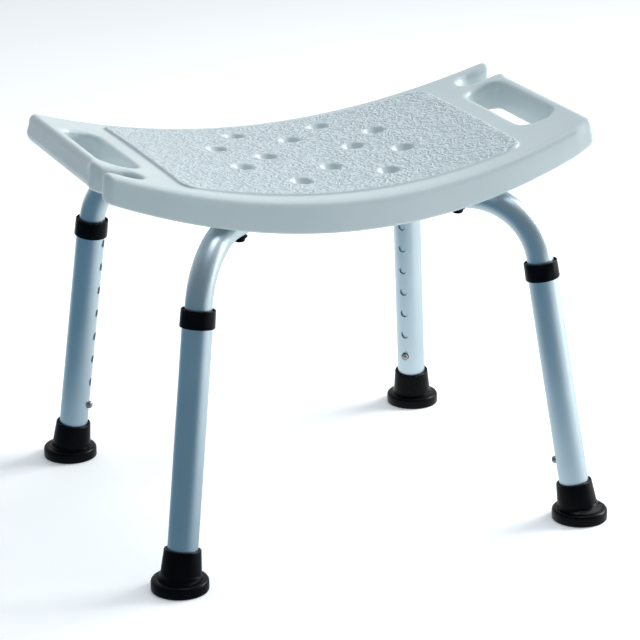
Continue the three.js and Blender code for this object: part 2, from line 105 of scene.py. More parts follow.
DRAIN_CENTRES = (
    (83.1 * MM, 34.1 * MM),
    (83.1 * MM, -34.1 * MM),
    (45.5 * MM, 0.0),
    (44.8 * MM, 85.8 * MM),
    (44.8 * MM, -85.8 * MM),
    (0.0, 51.5 * MM),
)
DRAIN_RADIUS = 4 * MM
DIMPLE_RADIUS = 11 * MM
DIMPLE_DEPTH = 6 * MM
DIMPLE_CURVE = 1.3  # over 1, so that the lip is soft
VENT_RADIUS = 3 * MM
VENT_CENTRE = (0.0, -12 * MM)
VENT_DEPTH = 10 * MM

SKIRT_WIDTH = 12 * MM
RECESS_DEPTH = 8 * MM
RECESS_HALF_LENGTH = 183 * MM
RECESS_RADIUS = 10 * MM
CHANNEL_RADIUS = 13.3 * MM
CHANNEL = (66 * MM, 192 * MM)  # from the middle of the stool

OUTLINE_STEP = 4 * MM  # longest edge of the seat's outlines
TOP_SPACING = 2.8 * MM  # between the points of the upper surface
UNDER_SPACING = 2.4 * MM

# Legs.
LEVEL_TUBE_Z = 318.1 * MM
BEND_RADIUS = 68 * MM
TUBE_END_FROM_CENTRE = 70 * MM
OUTER_TUBE_RADIUS = 14.3 * MM
INNER_TUBE_RADIUS = 12.7 * MM
TUBE_WALL = 1.3 * MM
OUTER_TUBE = (7 * MM, 257.5 * MM)
INNER_TUBE_FROM = 40 * MM
HOLE_COUNT = 8
HOLE_PITCH = 25.4 * MM
FIRST_HOLE = 61.1 * MM
HOLE_RADIUS = 4.1 * MM
COLLAR = (245.2 * MM, 262.5 * MM)
COLLAR_RADIUS = 16.6 * MM
COLLAR_RECESS = 2.6 * MM  # the lip stands this much above the collar's flat top
COLLAR_LEDGE = 4.4 * MM  # from the lip down to the face over the lower tube's end
FLANGE_RADIUS = 27.1 * MM
FLANGE_HEIGHT = 11.4 * MM
FOOT_TOP = 38 * MM
FOOT_FLOOR = 6.6 * MM  # bottom of the socket for the tube
BUTTON_RADIUS = 3.8 * MM
BUTTON_TOP = 18.3 * MM
BUTTON_FLANGE_RADIUS = 4.8 * MM
BUTTON_FLANGE = (8.7 * MM, 9.7 * MM)
SPRING_X = (8.3 * MM, -10.4 * MM)  # outer faces of the strip's front and back arms
SPRING_THICKNESS = 0.7 * MM
SPRING_HALF_WIDTH = 3.5 * MM
SPRING_BEND = 52 * MM
SPRING_TIPS = (68 * MM, 82 * MM)
BOLT_FROM_CENTRE = (148 * MM, 88 * MM)
BOLT_RADIUS = 2.9 * MM
BOLT_TOP_Z = 340 * MM
BOLT_HOLE_RADIUS = 3.4 * MM
BOLT_HEAD_RADIUS = 5.6 * MM
BOLT_HEAD_HEIGHT = 4.2 * MM
BOLT_SOCKET_RADIUS = 2.3 * MM
BOLT_SOCKET_DEPTH = 2.4 * MM
WASHER_RADIUS = 7.5 * MM
WASHER_HEIGHT = 1.2 * MM
INSERT_Z = (332 * MM, 342 * MM)
INSERT_RADIUS = 4.5 * MM
GAP = 0.3 * MM

CORNERS = ("front_left", "front_right", "back_left", "back_right")


# ---------------------------------------------------------------- node materials


class Nodes:
    """A material's node tree, with short ways to add and link nodes."""

    def __init__(self, name):
        self.material = bpy.data.materials.new(name)
        self.material.use_nodes = True
        self.tree = self.material.node_tree
        self.shader = self.tree.nodes["Principled BSDF"]
        self.coordinates = self.tree.nodes.new("ShaderNodeTexCoord").outputs["Object"]

    def link(self, source, target):
        self.tree.links.new(source, target)

    def scaled(self, scale):
        mapping = self.tree.nodes.new("ShaderNodeMapping")
        mapping.inputs["Scale"].default_value = scale
        self.link(self.coordinates, mapping.inputs["Vector"])
        return mapping.outputs["Vector"]

    def noise(self, scale, detail=2.0, distortion=0.0, vector=None):
        node = self.tree.nodes.new("ShaderNodeTexNoise")
        node.inputs["Scale"].default_value = scale
        node.inputs["Detail"].default_value = detail
        node.inputs["Distortion"].default_value = distortion
        self.link(vector or self.coordinates, node.inputs["Vector"])
        return node.outputs["Fac"]

    def ramp(self, value, low, high, start=0.0, end=1.0):
        """Maps value from low..high to start..end."""
        node = self.tree.nodes.new("ShaderNodeMapRange")
        numbers = {"From Min": low, "From Max": high, "To Min": start, "To Max": end}
        for socket, number in numbers.items():
            node.inputs[socket].default_value = number
        self.link(value, node.inputs["Value"])
        return node.outputs["Result"]

    def math(self, operation, a, b=None):
        node = self.tree.nodes.new("ShaderNodeMath")
        node.operation = operation
        for socket, value in zip(node.inputs, (a, b)):
            if isinstance(value, (int, float)):
                socket.default_value = value
            elif value is not None:
                self.link(value, socket)
        return node.outputs[0]

    def blend(self, factor, first, second):
        node = self.tree.nodes.new("ShaderNodeMix")
        node.data_type = "RGBA"
        node.inputs[6].default_value = (*first, 1)
        node.inputs[7].default_value = (*second, 1)
        self.link(factor, node.inputs["Factor"])
        return node.outputs[2]

    def bump(self, height, strength, distance, below=None):
        node = self.tree.nodes.new("ShaderNodeBump")
        node.inputs["Strength"].default_value = strength
        node.inputs["Distance"].default_value = distance
        self.link(height, node.inputs["Height"])
        if below is not None:
            self.link(below, node.inputs["Normal"])
        return node.outputs["Normal"]

    def set(self, **values):
        for name, value in values.items():
            socket = self.shader.inputs[name.replace("_", " ")]
            if isinstance(value, bpy.types.NodeSocket):
                self.link(value, socket)
            else:
                socket.default_value = value
        return self.material


def seat_plastic():
    """Smooth polyethylene of the rim: faint clouding, orange peel and rub marks."""
    n = Nodes("seat_plastic")
    cloud = n.noise(9, 3)
    peel = n.noise(900, 2)
    colour = n.blend(n.ramp(cloud, 0.3, 0.7), (0.51, 0.595, 0.61), (0.56, 0.64, 0.655))
    rough = n.ramp(n.noise(55, 4), 0.3, 0.7, 0.28, 0.38)
    return n.set(Base_Color=colour, Roughness=rough, Normal=n.bump(peel, 0.15, 0.0002))


def seat_panel_plastic():
    """The sitting panel: short worm-like ridges about two millimetres apart, with painted shade in
    the valleys and a painted highlight on the ridges.
    """
    n = Nodes("seat_panel_plastic")
    worms = n.noise(165, 0.6, 0.7)
    ridge = n.math("SUBTRACT", 1.0, n.math("ABSOLUTE", n.ramp(worms, 0.32, 0.68, -1, 1)))
    grain = n.noise(1400, 2)
    # Darker in the valleys and lighter on the ridges: painted shade in the grooves and a painted
    # highlight on the ridges.
    colour = n.blend(n.ramp(ridge, 0.0, 1.0), (0.42, 0.50, 0.53), (0.55, 0.63, 0.66))
    rough = n.ramp(grain, 0.3, 0.7, 0.4, 0.52)
    fine = n.bump(grain, 0.12, 0.0002)
    return n.set(Base_Color=colour, Roughness=rough, Normal=n.bump(ridge, 0.8, 0.001, fine))


def aluminium(name, tint):
    """Satin anodised tube: drawn lines along its length, small cloudy stains and handling wear."""
    n = Nodes(name)
    lines = n.noise(60, 3, vector=n.scaled((30, 30, 0.6)))
    cloud = n.noise(22, 3)
    colour = n.blend(n.ramp(cloud, 0.25, 0.75), tint, tuple(c * 0.92 for c in tint))
    satin = n.ramp(lines, 0.3, 0.7, 0.32, 0.42)
    worn = n.ramp(n.noise(140, 2), 0.5, 0.8, 0, 0.05)
    rough = n.math("ADD", satin, worn)
    normal = n.bump(lines, 0.06, 0.0002)
    return n.set(Base_Color=colour, Metallic=1.0, Roughness=rough, Normal=normal)


def blackened(name, low_rough, high_rough):
    """Rubber, plastic or steel near black, with a blue cast, faint pitting and dull rubbed
    patches."""
    n = Nodes(name)
    pits = n.noise(700, 3)
    patches = n.noise(60, 4)
    colour = n.blend(n.ramp(patches, 0.3, 0.75), (0.0005, 0.0005, 0.001), (0.002, 0.002, 0.0035))
    rough = n.ramp(patches, 0.3, 0.7, low_rough, high_rough)
    normal = n.bump(pits, 0.12, 0.0002)
    return n.set(Base_Color=colour, Roughness=rough, Specular_IOR_Level=0.08, Normal=normal)


def metal(name, colour, rough):
    """Bare metal: fine scratches and a little tarnish."""
    n = Nodes(name)
    scratches = n.noise(500, 4, 0.8)
    tarnish = n.noise(180, 3)
    shade = n.blend(n.ramp(tarnish, 0.35, 0.75), colour, tuple(c * 0.75 for c in colour))
    roughness = n.ramp(scratches, 0.3, 0.7, rough * 0.8, rough * 1.3)
    normal = n.bump(scratches, 0.1, 0.0001)
    return n.set(Base_Color=shade, Metallic=1.0, Roughness=roughness, Normal=normal)


# Painted reflection: the colours that glossy rays see in place of the floor, dark on one side and
# bright on the other, for the tubes to reflect.
PAINTED_REFLECTION_DARK = (0.13, 0.25, 0.34)
PAINTED_REFLECTION_BRIGHT = (1.2, 1.25, 1.25)
PAINTED_REFLECTION_TOWARDS = (0.85, 0.4, 0)
PAINTED_REFLECTION_REACH = (-0.35, 0.25)  # where along that direction it is fully dark and fully bright


def floor_paint():
    """Plain pale floor. Glossy rays see a painted reflection in its place: an emission that is dark
    on one side and bright on the other, which paints a dark side and a bright side on the tubes."""
    n = Nodes("floor_paint")
    colour = n.blend(n.noise(3, 2), (0.93, 0.94, 0.95), (0.96, 0.965, 0.97))
    n.set(Base_Color=colour, Roughness=0.7, Emission_Color=(0.97, 0.98, 1, 1), Emission_Strength=0.2)
    towards = n.tree.nodes.new("ShaderNodeVectorMath")
    towards.operation = "DOT_PRODUCT"
    towards.inputs[1].default_value = PAINTED_REFLECTION_TOWARDS
    n.link(n.coordinates, towards.inputs[0])
    # The painted reflection: an emission that only glossy rays see.
    sweep = n.tree.nodes.new("ShaderNodeEmission")
    shade = n.blend(n.ramp(towards.outputs["Value"], *PAINTED_REFLECTION_REACH), PAINTED_REFLECTION_DARK, PAINTED_REFLECTION_BRIGHT)
    n.link(shade, sweep.inputs["Color"])
    mix = n.tree.nodes.new("ShaderNodeMixShader")
    n.link(n.tree.nodes.new("ShaderNodeLightPath").outputs["Is Glossy Ray"], mix.inputs[0])
    n.link(n.shader.outputs[0], mix.inputs[1])
    n.link(sweep.outputs[0], mix.inputs[2])
    n.link(mix.outputs[0], n.tree.nodes["Material Output"].inputs["Surface"])
    return n.material


# ---------------------------------------------------------------- outlines and meshes


def fillet(corners, steps=8):
    """Closed outline of (x, y, radius) corners, each with a radius rounded to an arc."""
    outline = []
    count = len(corners)
    for i, (x, y, radius) in enumerate(corners):
        here = np.array((x, y))
        if radius == 0:
            outline.append(here)
            continue
        before = np.array(corners[i - 1][:2]) - here
        after = np.array(corners[(i + 1) % count][:2]) - here
        before /= np.linalg.norm(before)
        after /= np.linalg.norm(after)
        half = math.acos(np.clip(before @ after, -1, 1)) / 2
        middle = (before + after) / np.linalg.norm(before + after)
        centre = here + middle * radius / math.sin(half)
        first = here + before * radius / math.tan(half) - centre
        last = here + after * radius / math.tan(half) - centre
        sweep = math.pi - 2 * half
        for t in np.linspace(0, 1, steps + 1):
            arm = (first * math.sin((1 - t) * sweep) + last * math.sin(t * sweep)) / math.sin(sweep)
            outline.append(centre + arm)
    return np.array(outline)


def evened(outline, longest):
    """The same closed outline with long stretches divided."""
    points = []
    for here, after in zip(outline, np.roll(outline, -1, axis=0)):
        count = max(1, math.ceil(np.linalg.norm(after - here) / longest))
        points += [here + (after - here) * i / count for i in range(count)]
    return np.array(points)


def normals_of(outline):
    """Unit normals that point out of a counter-clockwise outline."""
    along = np.roll(outline, -1, axis=0) - np.roll(outline, 1, axis=0)
    along /= np.linalg.norm(along, axis=1)[:, None]
    return np.stack((along[:, 1], -along[:, 0]), axis=1)


def inside(points, outline):
    """Which points lie inside a closed outline."""
    result = np.zeros(len(points), bool)
    x, y = points[:, 0], points[:, 1]
    for (ax, ay), (bx, by) in zip(outline, np.roll(outline, -1, axis=0)):
        if ay != by:
            crosses = ((ay > y) != (by > y)) & (x < (bx - ax) * (y - ay) / (by - ay) + ax)
            result ^= crosses
    return result


def circle(centre, radius, steps=32):
    angles = np.arange(steps) * 2 * math.pi / steps
    return np.array(centre) + radius * np.stack((np.cos(angles), np.sin(angles)), axis=1)


def smoothstep(value, low, high):
    t = np.clip((value - low) / (high - low), 0, 1)
    return t * t * (3 - 2 * t)


def loop_edges(loops):
    """Edges of several closed loops whose points are numbered one after another."""
    edges = []
    start = 0
    for loop in loops:
        edges += [(start + i, start + (i + 1) % len(loop)) for i in range(len(loop))]
        start += len(loop)
    return edges


def triangulated(points, edges):
    """Triangles through flat points that keep the given edges, each triangle's centre, and the
    number of the given point that each corner stands for, or -1 where two edges cross."""
    vectors = [Vector(map(float, p)) for p in points]
    found = delaunay_2d_cdt(vectors, edges, [], 0, 1e-7)
    origin = np.array([sources[0] if sources else -1 for sources in found[3]])
    triangles = np.array(found[2])
    centres = np.array([p[:] for p in found[0]])[triangles].mean(axis=1)
    return origin[triangles], centres


TRIANGLE_HEIGHT = 0.866  # of an even-sided triangle, as a share of its side
CLEARANCE = 0.55  # a field point keeps this share of the spacing from every outline


class Skin:
    """Collects the vertices and faces of one closed surface."""

    def __init__(self):
        self.points = []
        self.faces = []
        self.marks = []

    def ring(self, points):
        start = len(self.points)
        self.points += [tuple(map(float, p)) for p in points]
        return list(range(start, len(self.points)))

    def face(self, corners, mark=0):
        self.faces.append(tuple(corners))
        self.marks.append(mark)

    def bridge(self, first, second):
        """A band of quads between two closed rings."""
        for i in range(len(first)):
            j = (i + 1) % len(first)
            self.face((first[i], first[j], second[j], second[i]))

    def stack(self, rings):
        for first, second in zip(rings, rings[1:]):
            self.bridge(first, second)

    def fill(self, outer, holes, guides, spacing, height, mark=None):
        """Triangles between an outer ring and the rings of its holes, through guide lines and
        an even field of points, at the given height."""
        rings = [outer, *holes]
        outlines = [np.array([self.points[i][:2] for i in ring]) for ring in rings] + list(guides)
        known = [i for ring in rings for i in ring]
        known += self.ring(with_height(np.concatenate(guides), height))
        fixed = np.concatenate(outlines)
        low, high = outlines[0].min(0), outlines[0].max(0)
        rows = np.arange(low[1], high[1], spacing * TRIANGLE_HEIGHT)
        field = [
            (x + (spacing / 2 if r % 2 else 0), y)
            for r, y in enumerate(rows)
            for x in np.arange(low[0], high[0], spacing)
        ]
        field = np.array(field)
        field = field[inside(field, outlines[0])]
        for outline in outlines[1 : len(rings)]:
            field = field[~inside(field, outline)]
        field = field[nearest(field, fixed) > CLEARANCE * spacing]
        known += self.ring(with_height(field, height))
        triangles, centres = triangulated(np.concatenate((fixed, field)), loop_edges(outlines))
        keep = inside(centres, outlines[0])
        for outline in outlines[1 : len(rings)]:
            keep &= ~inside(centres, outline)
        marks = mark(centres) if mark else np.zeros(len(centres), int)
        for triangle, value in zip(triangles[keep], marks[keep]):
            self.face([known[i] for i in triangle], int(value))

    def make(self, name, materials, body, slot, replaced, sharp_degrees=40, matrix=None):
        """The piece that stands for the replaced nodes, tied to the given body if there is one."""
        mesh = bpy.data.meshes.new(name)
        mesh.from_pydata(self.points, [], self.faces)
        if matrix is not None:
            mesh.transform(matrix)
        for material in materials:
            mesh.materials.append(material)
        mesh.polygons.foreach_set("material_index", self.marks)
        mesh.polygons.foreach_set("use_smooth", [True] * len(self.faces))
        outward(mesh)
        mesh.set_sharp_from_angle(angle=math.radians(sharp_degrees))
        piece = bpy.data.objects.new(name, mesh)
        bpy.context.scene.collection.objects.link(piece)
        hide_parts(*replaced)
        if body:
            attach(piece, body)
        return piece


def outward(mesh):
    """Turns every face of a closed mesh outwards."""
    work = bmesh.new()
    work.from_mesh(mesh)
    bmesh.ops.recalc_face_normals(work, faces=work.faces)
    work.to_mesh(mesh)
    work.free()


def with_height(plan, height):
    plan = np.asarray(plan)
    return np.column_stack((plan, height(plan)))


def nearest(points, others):
    """Distance from each point to the nearest of the others, in blocks to save memory."""
    result = np.empty(len(points))
    size = 2000
    for start in range(0, len(points), size):
        block = points[start : start + size]
        gaps = block[:, None, :] - others[None, :, :]
        result[start : start + size] = np.sqrt((gaps**2).sum(axis=2).min(axis=1))
    return result


def lathe(skin, profile, segments=64, matrices=None, hexes=()):
    """Turns a list of (radius, height) about Z. It closes at the ends that lie on the axis, or
    back on its first ring. hexes are the numbers of the rings that are six-sided."""
    angles = np.arange(segments) * 2 * math.pi / segments
    rings = []
    for k, (radius, height) in enumerate(profile):
        if radius == 0:
            points = [(0, 0, height)]
        else:
            reach = np.full(segments, radius)
            if k in hexes:
                sixth = math.pi / 3
                reach = radius * math.cos(sixth / 2) / np.cos(angles % sixth - sixth / 2)
            points = [(r * math.cos(a), r * math.sin(a), height) for r, a in zip(reach, angles)]
        if matrices:
            points = [matrices[k] @ Vector(p) for p in points]
        rings.append(skin.ring(points))
    pairs = list(zip(rings, rings[1:]))
    if profile[0][0] > 0 and profile[-1][0] > 0:
        pairs.append((rings[-1], rings[0]))
    for first, second in pairs:
        if len(first) == 1 or len(second) == 1:
            tip, rim = (first, second) if len(first) == 1 else (second, first)
            for i in range(segments):
                skin.face((tip[0], rim[i], rim[(i + 1) % segments]))
        else:
            skin.bridge(first, second)


def rounded_profile(corners, steps=4):
    """Open (radius, height) profile from corners with their fillet radii."""
    ends = [corners[0][:2], corners[-1][:2]]
    middle = fillet(corners, steps)
    skip_first = 1 if corners[0][2] == 0 else steps + 1
    skip_last = 1 if corners[-1][2] == 0 else steps + 1
    return [tuple(ends[0])] + [tuple(p) for p in middle[skip_first:-skip_last]] + [tuple(ends[1])]


# ---------------------------------------------------------------- seat


def half_width(x):
    return SEAT_HALF_WIDTH_END + SEAT_SIDE_BOW * (1 - (x / SEAT_HALF_LENGTH) ** 2)


def seat_z(plan, height, crown):
    """Height of the saddle at a height over the skirt's edge, with a bulge across the middle."""
    x, y = plan[:, 0], plan[:, 1]
    along = (x / SEAT_HALF_LENGTH) ** 2
    across = np.minimum((y / half_width(x)) ** 2, 1)
    bulge = crown * (1 - along) * (1 - across) * height / SEAT_RIM_HEIGHT
    return SEAT_RIM_Z + SEAT_END_RISE * along + height * (1 - SEAT_END_THINNING * along) + bulge


def bowed_depth(plan, half_length, margin, radius):
    """How deep points lie inside a rounded outline that follows the bowed sides."""
    qx = np.abs(plan[:, 0]) - (half_length - radius)
    qy = np.abs(plan[:, 1]) - (half_width(plan[:, 0]) - margin - radius)
    outside = np.hypot(np.maximum(qx, 0), np.maximum(qy, 0))
    return radius - outside - np.minimum(np.maximum(qx, qy), 0)


def long_side(half_length, margin, clear, turn):
    """Points along one bowed side, short of its corners."""
    xs = np.linspace(-(half_length - clear), half_length - clear, 36)
    return [(turn * x, -turn * (half_width(x) - margin), 0) for x in xs]


def bowed_outline(half_length, margin, radius):
    corners = []
    for turn in (1, -1):
        end = half_width(half_length) - margin
        corners += long_side(half_length, margin, radius + 6 * MM, turn)
        corners += [(turn * half_length, y, radius) for y in (-turn * end, turn * end)]
    return evened(fillet(corners), OUTLINE_STEP)


def seat_outline():
    """Plan of the seat. Each half has a long side, a plain corner, the grip's end, the slot and
    the rail's tip; the second half is the first turned half a turn."""
    end = SEAT_HALF_LENGTH
    half = long_side(end, 0, SEAT_CORNER_CLEAR, 1)
    half += [
        (end, -half_width(end), SEAT_CORNER_RADIUS),
        (end, SLOT_Y[0], GRIP_END_RADIUS),
        (SLOT_INNER_X, SLOT_Y[0], SLOT_RADIUS),
        (SLOT_INNER_X, SLOT_Y[1], SLOT_RADIUS),
    ]
    swell_x = np.linspace(SLOT_INNER_X + SLOT_RADIUS + 1 * MM, SWELL_X[1], 8)
    swell_y = SLOT_Y[1] - RAIL_TIP_SWELL * smoothstep(swell_x, *SWELL_X)
    half += [(x, y, 0) for x, y in zip(swell_x, swell_y)]
    half += [
        (RAIL_TIP_X, SLOT_Y[1] - RAIL_TIP_SWELL, RAIL_TIP_RADIUS),
        (RAIL_TIP_X, half_width(RAIL_TIP_X), RAIL_TIP_RADIUS),
    ]
    return evened(fillet(half + [(-x, -y, r) for x, y, r in half], 10), OUTLINE_STEP)


def hand_hole_outline():
    (x0, x1), (y0, y1) = HAND_HOLE_X, HAND_HOLE_Y
    radius = HAND_HOLE_RADIUS
    corners = [(x1, y0, radius), (x1, y1, radius), (x0, y1, radius), (x0, y0, radius)]
    return evened(fillet(corners, 12), OUTLINE_STEP)


def top_z(plan):
    """The seat's upper surface, without its rounded edges and dimples."""
    rim = seat_z(plan, SEAT_RIM_HEIGHT, SEAT_CROWN)
    panel = seat_z(plan, SEAT_RIM_HEIGHT + PANEL_HEIGHT, PANEL_CROWN)
    depth = bowed_depth(plan, PANEL_HALF_LENGTH, PANEL_RIM_MARGIN, PANEL_CORNER_RADIUS)
    return rim + (panel - rim) * smoothstep(depth, 0, PANEL_STEP_WIDTH)


def in_panel(plan):
    """1 for points on the raised panel and 0 for points on the rim."""
    depth = bowed_depth(plan, PANEL_HALF_LENGTH, PANEL_RIM_MARGIN, PANEL_CORNER_RADIUS)
    return (depth > PANEL_STEP_WIDTH).astype(int)


def under_z(plan):
    """The seat's lower surface: skirt, recess and the channels for the tubes."""
    depth = bowed_depth(plan, RECESS_HALF_LENGTH, SKIRT_WIDTH, RECESS_RADIUS)
    z = seat_z(plan, 0, 0) + RECESS_DEPTH * smoothstep(depth, -1 * MM, 2.5 * MM)
    for leg in LEGS.values():
        away = Vector((-leg.level.x, -leg.level.y))
        reach = plan @ np.array(away)
        aside = plan @ np.array((-away.y, away.x))
        past = np.maximum(CHANNEL[0] - reach, 0) + np.maximum(reach - CHANNEL[1], 0)
        across = np.minimum(aside**2 + past**2, CHANNEL_RADIUS**2)
        groove = LEVEL_TUBE_Z + np.sqrt(CHANNEL_RADIUS**2 - across)
        groove[across >= CHANNEL_RADIUS**2] = 0
        z = np.maximum(z, groove)
    return z


def wall_rings(skin, outline, into, roll, tuck, draft):
    """Rings from the upper surface over a rounded edge, down a wall and under its lower edge."""
    rings = []
    for turn in np.linspace(0, math.pi / 2, 7):
        inset = draft + roll[0] * (1 - math.sin(turn))
        plan = outline + into * np.broadcast_to(inset, len(outline))[:, None]
        z = top_z(plan) - roll[1] * (1 - math.cos(turn))
        rings.append(skin.ring(np.column_stack((plan, z))))
    for turn in np.linspace(math.pi / 2, 0, 5):
        inset = tuck[0] * (1 - math.sin(turn))
        plan = outline + into * np.broadcast_to(inset, len(outline))[:, None]
        z = seat_z(plan, 0, 0) + tuck[1] * (1 - math.cos(turn))
        rings.append(skin.ring(np.column_stack((plan, z))))
    skin.stack(rings)
    return rings[0], rings[-1]


def outer_wall(skin):
    """The seat's outside. The ends have a taller roll, lean in and tuck under more."""
    outline = seat_outline()
    turned_y = outline[:, 1] * np.sign(outline[:, 0])
    end = smoothstep(np.abs(outline[:, 0]), *END_FROM_X)
    end = end * (1 - smoothstep(turned_y, *END_TO_Y))
    roll = [a + (b - a) * end for a, b in zip(EDGE_ROLL, END_ROLL)]
    tuck = [a + (b - a) * end for a, b in zip(EDGE_TUCK, END_TUCK)]
    draft = EDGE_DRAFT + (END_DRAFT - EDGE_DRAFT) * end
    return wall_rings(skin, outline, -normals_of(outline), roll, tuck, draft)


def hand_hole_wall(skin, turn):
    outline = hand_hole_outline() * turn
    grip = smoothstep(np.abs(outline[:, 0]), HAND_HOLE_X[0] + GRIP_FROM_EDGE, HAND_HOLE_X[1])
    roll = [a + (b - a) * grip for a, b in zip(HAND_HOLE_ROLL, GRIP_ROLL)]
    draft = HAND_HOLE_DRAFT * (1 - grip / 2)
    return wall_rings(skin, outline, normals_of(outline), roll, HAND_HOLE_TUCK, draft)


def drain_wall(skin, centre):
    """A dimple with a soft lip and a curved side, then a straight hole to the underside."""
    rings = []
    for share in np.linspace(0, 1, 9):
        radius = DIMPLE_RADIUS + (DRAIN_RADIUS - DIMPLE_RADIUS) * share
        plan = circle(centre, radius)
        z = top_z(plan) - DIMPLE_DEPTH * share**DIMPLE_CURVE * (2 - share)
        rings.append(skin.ring(np.column_stack((plan, z))))
    plan = circle(centre, DRAIN_RADIUS)
    rings.append(skin.ring(with_height(plan, under_z)))
    skin.stack(rings)
    return rings[0], rings[-1]


def blind_hole(skin, centre, radius, top):
    """A hole up into the underside that ends in a flat face."""
    plan = circle(centre, radius, 24)
    mouth = skin.ring(with_height(plan, under_z))
    end = skin.ring(np.column_stack((plan, np.full(len(plan), top))))
    skin.bridge(mouth, end)
    skin.face(end)
    return mouth


def seat_shell():
    skin = Skin()
    outer_top, outer_low = outer_wall(skin)
    tops, lows = [], []
    for turn in (1, -1):
        top, low = hand_hole_wall(skin, turn)
        tops.append(top)
        lows.append(low)
    for x, y in DRAIN_CENTRES:
        for turn in (1, -1):
            top, low = drain_wall(skin, (turn * x, turn * y))
            tops.append(top)
            lows.append(low)
    for leg in LEGS.values():
        for distance in BOLT_FROM_CENTRE:
            centre = (-leg.level.x * distance, -leg.level.y * distance)
            lows.append(blind_hole(skin, centre, INSERT_RADIUS + GAP, INSERT_Z[1] + GAP))
    vent_top = SEAT_RIM_Z + RECESS_DEPTH + VENT_DEPTH
    lows.append(blind_hole(skin, VENT_CENTRE, VENT_RADIUS, vent_top))
    outline = bowed_outline(PANEL_HALF_LENGTH, PANEL_RIM_MARGIN, PANEL_CORNER_RADIUS)
    step = [outline - normals_of(outline) * PANEL_STEP_WIDTH * t for t in (-0.1, 0.2, 0.5, 0.8, 1.1)]
    skin.fill(outer_top, tops, step, TOP_SPACING, top_z, in_panel)
    outline = bowed_outline(RECESS_HALF_LENGTH, SKIRT_WIDTH, RECESS_RADIUS)
    step = [outline - normals_of(outline) * t * MM for t in (-1, 0, 0.8, 1.6, 2.6)]
    skin.fill(outer_low, lows, step, UNDER_SPACING, under_z)
    skin.make(
        "seat_shell_moulded",
        [seat_plastic(), seat_panel_plastic()],
        "frame",
        "seat_plastic",
        ["seat_shell"],
        50,
    )


# ---------------------------------------------------------------- legs


class Leg:
    """A leg's own frame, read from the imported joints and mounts: origin where its axis meets
    the floor, Z along the leg and X towards the middle of the stool."""

    def __init__(self, where):
        axes = {joint["name"]: Vector(joint["axis"]) for joint in frame["joints"]}
        feet = {mount["name"]: Vector(mount["pos_m"]) for mount in frame["record"]["mounts"]}
        foot = feet[f"foot_{where}_sole"]
        up = -axes[f"leg_{where}_height"].normalized()
        inwards = -axes[f"button_{where}_press"].normalized()
        across = up.cross(inwards)
        turned = Matrix((inwards, across, up)).transposed().to_4x4()
        knee = foot + up * (LEVEL_TUBE_Z / up.z)
        self.where = where
        self.level = Vector((-knee.x, -knee.y, 0)).normalized()
        self.matrix = Matrix.Translation(foot) @ turned
        self.upright = Matrix.Translation(foot)
        self.bend_angle = up.angle(self.level)
        knee_to_bend = BEND_RADIUS * math.tan(self.bend_angle / 2)
        self.bend_from = LEVEL_TUBE_Z / up.z - knee_to_bend
        self.bend_end_from_centre = knee.xy.length - knee_to_bend
        above = turned.inverted() @ Vector((0, 0, 1))
        inner_side = above.x * math.cos(self.bend_angle) - above.z * math.sin(self.bend_angle)
        self.above = math.atan2(above.y, inner_side) % (2 * math.pi)  # angle of the level run's top

    def bent(self, radius, angle, along):
        """A point of the bent tube's surface in the leg's frame."""
        past = max(0.0, along - self.bend_from)
        turn = min(past / BEND_RADIUS, self.bend_angle)
        straight = past - turn * BEND_RADIUS
        before = min(along, self.bend_from)
        reach = BEND_RADIUS - radius * math.cos(angle)
        return (
            BEND_RADIUS - reach * math.cos(turn) + straight * math.sin(turn),
            radius * math.sin(angle),
            before + reach * math.sin(turn) + straight * math.cos(turn),
        )


LEGS = {where: Leg(where) for where in CORNERS}


TUBE_COLUMNS = 64
HOLE_SIDES = 28
HOLE_CLEARANCE = 1.25  # field points keep out of this many radii around a hole


def flat_hole(bore, angle, along, radius):
    """A drilled hole's outline on the unrolled sheet."""
    turn = np.arange(HOLE_SIDES) * 2 * math.pi / HOLE_SIDES
    sideways = np.arcsin(radius * np.cos(turn) / bore) * bore
    return np.stack((angle * bore + sideways, along + radius * np.sin(turn)), axis=1)


def tube_sheet(skin, bore, rows, holes, place):
    """One side of a tube's wall. It is laid out flat as angle and length, triangulated around
    its holes, then rolled up. Gives the rings at its low end, its high end and its holes."""
    first, last = -math.pi / 2 * bore, 3 * math.pi / 2 * bore
    across = np.linspace(first, last, TUBE_COLUMNS + 1)
    low = [(u, rows[0]) for u in across]
    high = [(u, rows[-1]) for u in across[::-1]]
    right = [(last, s) for s in rows[1:-1]]
    left = [(first, s) for s in rows[-2:0:-1]]
    border = np.array(low + right + high + left)
    mouths = [flat_hole(bore, *hole) for hole in holes]
    field = np.array([(u, s) for s in rows[1:-1] for u in across[1:-1]])
    for mouth in mouths:
        centre = mouth.mean(axis=0)
        clear = HOLE_CLEARANCE * np.abs(mouth - centre).max()
        field = field[np.linalg.norm(field - centre, axis=1) > clear]
    flat = np.concatenate([border, *mouths, field])
    triangles, centres = triangulated(flat, loop_edges([border, *mouths]))
    index = skin.ring([place(bore, u / bore, s) for u, s in flat])
    seam = {round(s, 7): i for (u, s), i in zip(flat, index) if u <= first + 1e-9}
    for i, (u, s) in enumerate(flat):
        if u >= last - 1e-9:
            index[i] = seam[round(s, 7)]
    keep = np.ones(len(triangles), bool)
    for mouth in mouths:
        keep &= ~inside(centres, mouth)
    for triangle in triangles[keep]:
        skin.face([index[i] for i in triangle])
    high_start = len(low) + len(right)
    starts = range(len(border), len(border) + HOLE_SIDES * len(holes), HOLE_SIDES)
    return [
        index[:TUBE_COLUMNS],
        index[high_start : high_start + TUBE_COLUMNS],
        *(index[start : start + HOLE_SIDES] for start in starts),
    ]


